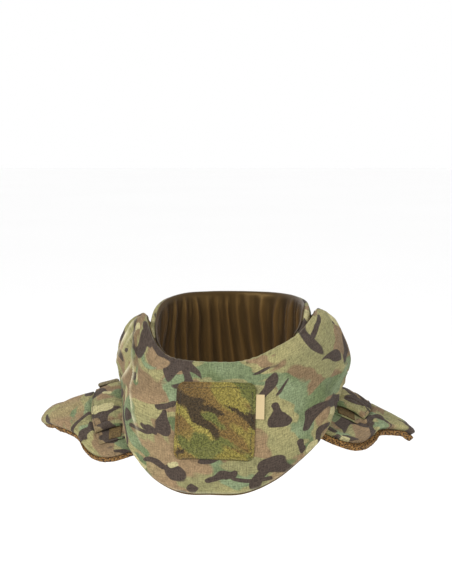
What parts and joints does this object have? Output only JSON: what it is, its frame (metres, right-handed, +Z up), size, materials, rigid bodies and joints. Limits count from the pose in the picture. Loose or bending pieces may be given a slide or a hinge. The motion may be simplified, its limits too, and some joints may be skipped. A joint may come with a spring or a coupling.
{
  "type": "ballistic gorget",
  "caption": "Soft-armour neck guard with a padded throat piece, a standing collar and shoulder pads with strap tunnels.",
  "frame": {"origin": "middle of the neck opening, level with the shoulder line that the pads lie on", "axes": "+Z up along the neck, -Y towards the wearer's front, +X to the wearer's left"},
  "size_m": [0.3969, 0.2427, 0.1779],
  "materials": {
    "camouflage_cloth": null,
    "spacer_mesh": "thick open spacer mesh",
    "lining_cloth": "smooth satin nylon lining",
    "loop_tape": "fuzzy loop pile printed in the same camouflage",
    "hook_tape": "hook-and-loop tape",
    "label_cloth": "bare woven label"
  },
  "bodies": {
    "root": {"throat_guard": "camouflage_cloth", "guard_lining": "lining_cloth", "neck_collar": "camouflage_cloth", "collar_lining": "lining_cloth", "shoulder_pad_right": "camouflage_cloth", "mesh_pad_right": "spacer_mesh", "tunnel_base_right": "camouflage_cloth", "hook_strip_right": "hook_tape", "strap_flap_right": "camouflage_cloth", "rear_tab_right": "camouflage_cloth", "shoulder_pad_left": "camouflage_cloth", "mesh_pad_left": "spacer_mesh", "tunnel_base_left": "camouflage_cloth", "hook_strip_left": "hook_tape", "strap_flap_left": "camouflage_cloth", "loop_panel": "loop_tape", "side_label": "label_cloth", "closure_right": "hook_tape", "closure_left": "hook_tape"}
  },
  "joints": []
}
